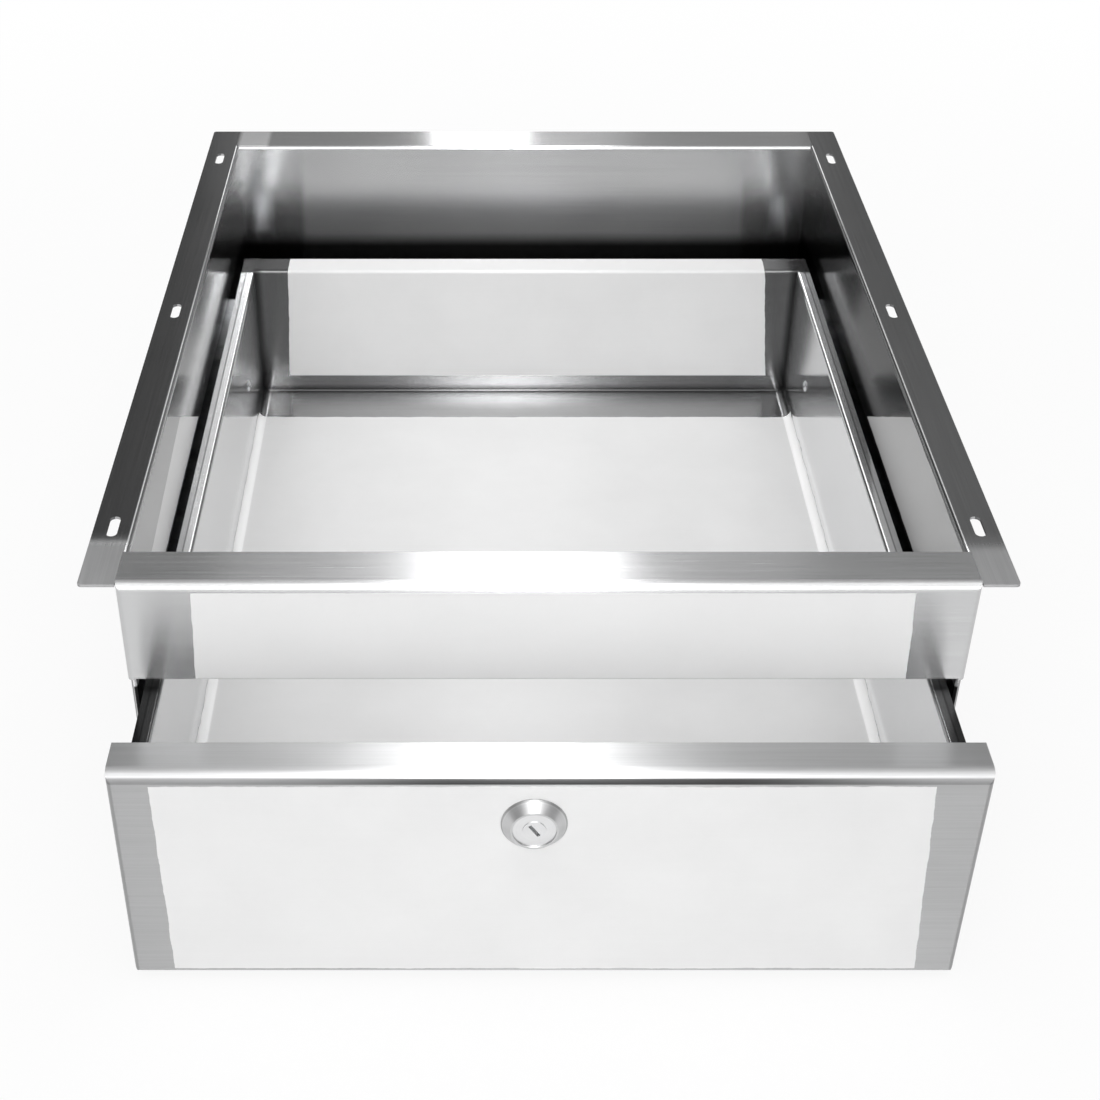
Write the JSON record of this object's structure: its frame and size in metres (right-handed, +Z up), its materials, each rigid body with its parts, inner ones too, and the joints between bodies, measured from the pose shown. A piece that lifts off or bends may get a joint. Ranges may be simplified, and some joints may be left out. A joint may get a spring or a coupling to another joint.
{
  "type": "stainless steel drawer",
  "caption": "Built-in stainless steel drawer for an outdoor kitchen: a flanged sheet-steel housing that hangs under a worktop, with a folded drawer on full-extension ball slides and a cam lock in its front",
  "frame": {"origin": "middle of the bounding box at its bottom, with the drawer 42 mm open as in the picture", "axes": "+Z up, -Y out of the drawer's front, +X to the right of someone facing the front"},
  "size_m": [0.451, 0.6244, 0.2032],
  "materials": {
    "housing_steel": "fine-ground stainless sheet, 1.5 mm",
    "drawer_steel": "fine-ground stainless sheet, 1.2 mm",
    "zinc_plated_steel": "bright zinc-plated cold-rolled steel",
    "ball_steel": "polished bearing balls",
    "lock_chrome": "chrome-plated die-cast lock parts",
    "black_rubber": "moulded rubber buffers"
  },
  "bodies": {
    "housing": {"housing_left_side": "housing_steel", "housing_right_side": "housing_steel", "housing_front_rail": "housing_steel", "housing_back_panel": "housing_steel", "outer_slide_left": "zinc_plated_steel", "outer_slide_right": "zinc_plated_steel", "slide_buffers": "black_rubber", "housing_screws": "zinc_plated_steel", "housing_nuts": "zinc_plated_steel"},
    "drawer": {"drawer_front": "drawer_steel", "drawer_inner_front": "drawer_steel", "drawer_pan": "drawer_steel", "drawer_screws": "zinc_plated_steel", "inner_slide_left": "zinc_plated_steel", "inner_slide_right": "zinc_plated_steel", "lock_collar": "lock_chrome", "lock_barrel": "lock_chrome", "lock_nut": "zinc_plated_steel"},
    "middle_member_left": {"middle_slide_left": "zinc_plated_steel"},
    "middle_member_right": {"middle_slide_right": "zinc_plated_steel"},
    "outer_ball_cage_left": {"outer_cage_left": "zinc_plated_steel", "outer_balls_left": "ball_steel"},
    "outer_ball_cage_right": {"outer_cage_right": "zinc_plated_steel", "outer_balls_right": "ball_steel"},
    "inner_ball_cage_left": {"inner_cage_left": "zinc_plated_steel", "inner_balls_left": "ball_steel"},
    "inner_ball_cage_right": {"inner_cage_right": "zinc_plated_steel", "inner_balls_right": "ball_steel"},
    "lock": {"lock_plug": "lock_chrome", "lock_cam": "zinc_plated_steel", "lock_cam_screw": "zinc_plated_steel"}
  },
  "joints": [
    {"name": "drawer_slide", "type": "slide", "parent": "housing", "child": "drawer", "axis": [0, -1, 0], "range_m": [-0.042, 0.408]},
    {"name": "middle_slide_left", "type": "slide", "parent": "housing", "child": "middle_member_left", "axis": [0, -1, 0], "range_m": [-0.021, 0.204]},
    {"name": "middle_slide_right", "type": "slide", "parent": "housing", "child": "middle_member_right", "axis": [0, -1, 0], "range_m": [-0.021, 0.204]},
    {"name": "outer_cage_slide_left", "type": "slide", "parent": "housing", "child": "outer_ball_cage_left", "axis": [0, -1, 0], "range_m": [-0.0105, 0.102]},
    {"name": "outer_cage_slide_right", "type": "slide", "parent": "housing", "child": "outer_ball_cage_right", "axis": [0, -1, 0], "range_m": [-0.0105, 0.102]},
    {"name": "inner_cage_slide_left", "type": "slide", "parent": "housing", "child": "inner_ball_cage_left", "axis": [0, -1, 0], "range_m": [-0.0315, 0.306]},
    {"name": "inner_cage_slide_right", "type": "slide", "parent": "housing", "child": "inner_ball_cage_right", "axis": [0, -1, 0], "range_m": [-0.0315, 0.306]},
    {"name": "lock_turn", "type": "hinge", "parent": "drawer", "child": "lock", "pos_m": [-0.007, -0.30665, 0.1094], "axis": [0, 1, 0], "range_deg": [0, 90]}
  ],
  "couplings": [
    {"joint": "middle_slide_left", "follows": "drawer_slide", "ratio": 0.5},
    {"joint": "middle_slide_right", "follows": "drawer_slide", "ratio": 0.5},
    {"joint": "outer_cage_slide_left", "follows": "drawer_slide", "ratio": 0.25},
    {"joint": "outer_cage_slide_right", "follows": "drawer_slide", "ratio": 0.25},
    {"joint": "inner_cage_slide_left", "follows": "drawer_slide", "ratio": 0.75},
    {"joint": "inner_cage_slide_right", "follows": "drawer_slide", "ratio": 0.75}
  ]
}
